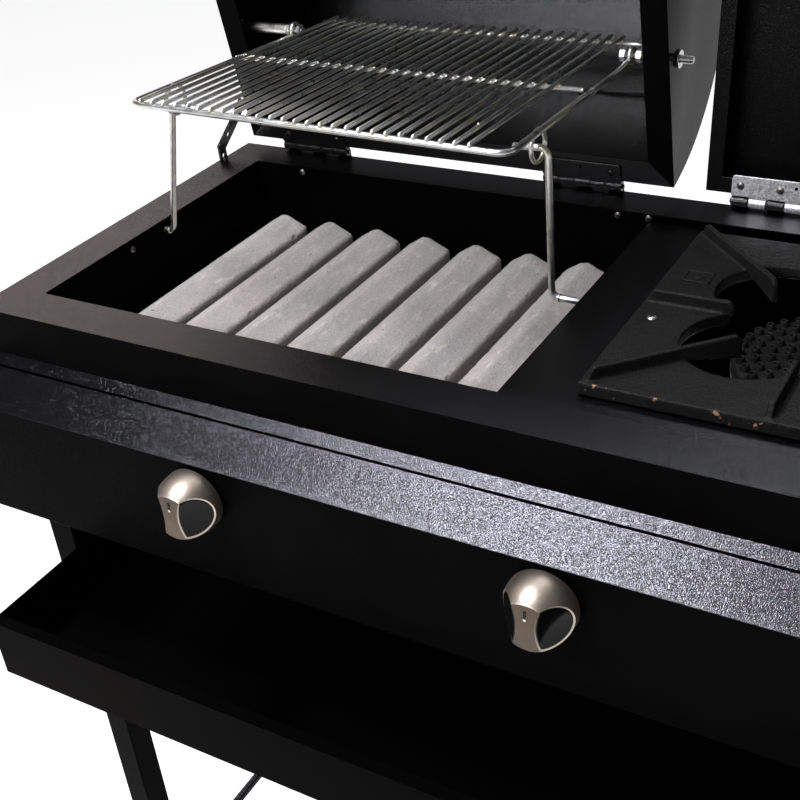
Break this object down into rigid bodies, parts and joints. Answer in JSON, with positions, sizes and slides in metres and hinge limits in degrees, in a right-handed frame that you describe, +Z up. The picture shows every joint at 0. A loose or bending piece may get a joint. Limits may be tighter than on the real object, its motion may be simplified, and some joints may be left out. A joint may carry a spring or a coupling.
{
  "type": "gas barbecue",
  "caption": "Two-bay gas barbecue on legs: ceramic-bar grill with swing-up warming rack and barrel lid, side burner with flat lid, drip tray.",
  "frame": {"origin": "on the ground under the middle of the object's box", "axes": "+Z up, +X along the front to the right, +Y from the front to the back"},
  "size_m": [0.9722, 0.6956, 1.3328],
  "materials": {
    "black_powder_coat": "fine orange-peel powder coat",
    "cast_iron": "sand-cast, satin black paint",
    "zinc_wire": "bright zinc plate",
    "burner_steel": "aluminised steel",
    "bright_hinge": "textured silver-grey coat",
    "fired_ceramic": "fired clay, matt and fine-grained",
    "valve_brass": "machined",
    "satin_nickel": "satin nickel",
    "gloss_black": "glossy moulded plastic"
  },
  "bodies": {
    "root": {"rim_frame": "black_powder_coat", "tub_skirt": "black_powder_coat", "control_panel": "black_powder_coat", "firebox_liner": "black_powder_coat", "burner_deck": "black_powder_coat", "lower_rail_left": "black_powder_coat", "lower_rail_right": "black_powder_coat", "rear_cross_rail": "black_powder_coat", "tray_runner_left": "black_powder_coat", "tray_runner_right": "black_powder_coat", "lid_stop_bracket": "black_powder_coat", "leg_front_left": "black_powder_coat", "leg_rear_left": "black_powder_coat", "leg_front_right": "black_powder_coat", "leg_rear_right": "black_powder_coat", "hinge_1_lower_leaf": "black_powder_coat", "hinge_2_lower_leaf": "black_powder_coat", "hinge_3_lower_leaf": "black_powder_coat", "hinge_4_lower_leaf": "black_powder_coat", "bar_support_grate": "cast_iron", "pan_support": "cast_iron", "burner_head": "cast_iron", "burner_body": "cast_iron", "tube_burner": "burner_steel", "gas_manifold": "burner_steel", "ceramic_bar_1": "fired_ceramic", "ceramic_bar_2": "fired_ceramic", "ceramic_bar_3": "fired_ceramic", "ceramic_bar_4": "fired_ceramic", "ceramic_bar_5": "fired_ceramic", "ceramic_bar_6": "fired_ceramic", "ceramic_bar_7": "fired_ceramic", "gas_valve_1": "valve_brass", "gas_valve_2": "valve_brass", "gas_valve_3": "valve_brass"},
    "grill_lid": {"lid_barrel": "black_powder_coat", "lid_end_left": "black_powder_coat", "lid_end_right": "black_powder_coat", "lid_handle": "zinc_wire", "hinge_1_upper_leaf": "black_powder_coat", "hinge_2_upper_leaf": "black_powder_coat", "rack_stud_left": "zinc_wire", "rack_stud_right": "zinc_wire"},
    "flat_lid": {"flat_lid": "black_powder_coat", "flat_lid_handle": "zinc_wire", "hinge_3_upper_leaf": "bright_hinge", "hinge_4_upper_leaf": "bright_hinge"},
    "rack": {"warming_rack": "zinc_wire"},
    "rack_legs": {"rack_leg_left": "zinc_wire", "rack_leg_right": "zinc_wire"},
    "drip_tray": {"drip_tray": "black_powder_coat"},
    "stem_1": {"valve_stem_1": "valve_brass"},
    "knob_1": {"knob_shell_1": "satin_nickel", "knob_core_1": "gloss_black"},
    "stem_2": {"valve_stem_2": "valve_brass"},
    "knob_2": {"knob_shell_2": "satin_nickel", "knob_core_2": "gloss_black"},
    "stem_3": {"valve_stem_3": "valve_brass"},
    "knob_3": {"knob_shell_3": "satin_nickel", "knob_core_3": "gloss_black"}
  },
  "joints": [
    {"name": "lid_hinge", "type": "hinge", "parent": "root", "child": "grill_lid", "pos_m": [-0.21985, 0.19724, 0.906], "axis": [1, 0, 0], "range_deg": [0, 80]},
    {"name": "rack_on_studs", "type": "hinge", "parent": "grill_lid", "child": "rack", "pos_m": [-0.21985, 0.19724, 1.037], "axis": [1, 0, 0], "range_deg": [-80, 0]},
    {"name": "rack_leg_pivot", "type": "hinge", "parent": "root", "child": "rack_legs", "pos_m": [-0.21985, -0.00976, 0.889], "axis": [1, 0, 0], "range_deg": [0, 80]},
    {"name": "flat_lid_hinge", "type": "hinge", "parent": "root", "child": "flat_lid", "pos_m": [0.21915, 0.19724, 0.906], "axis": [1, 0, 0], "range_deg": [0, 97.5]},
    {"name": "drip_tray_slide", "type": "slide", "parent": "root", "child": "drip_tray", "axis": [0, -1, 0], "range_m": [-0.05, 0.26]},
    {"name": "knob_1_push", "type": "slide", "parent": "root", "child": "stem_1", "axis": [0, 1, 0], "range_m": [0, 0.003], "stiffness_N_per_m": 600},
    {"name": "knob_1_turn", "type": "hinge", "parent": "stem_1", "child": "knob_1", "pos_m": [-0.20985, -0.29376, 0.799], "axis": [0, -1, 0], "range_deg": [0, 210]},
    {"name": "knob_2_push", "type": "slide", "parent": "root", "child": "stem_2", "axis": [0, 1, 0], "range_m": [0, 0.003], "stiffness_N_per_m": 600},
    {"name": "knob_2_turn", "type": "hinge", "parent": "stem_2", "child": "knob_2", "pos_m": [0.10415, -0.29376, 0.799], "axis": [0, -1, 0], "range_deg": [0, 210]},
    {"name": "knob_3_push", "type": "slide", "parent": "root", "child": "stem_3", "axis": [0, 1, 0], "range_m": [0, 0.003], "stiffness_N_per_m": 600},
    {"name": "knob_3_turn", "type": "hinge", "parent": "stem_3", "child": "knob_3", "pos_m": [0.33415, -0.29376, 0.799], "axis": [0, -1, 0], "range_deg": [0, 210]}
  ],
  "couplings": [
    {"joint": "rack_on_studs", "follows": "lid_hinge", "ratio": -1},
    {"joint": "rack_leg_pivot", "follows": "lid_hinge", "ratio": 1}
  ]
}
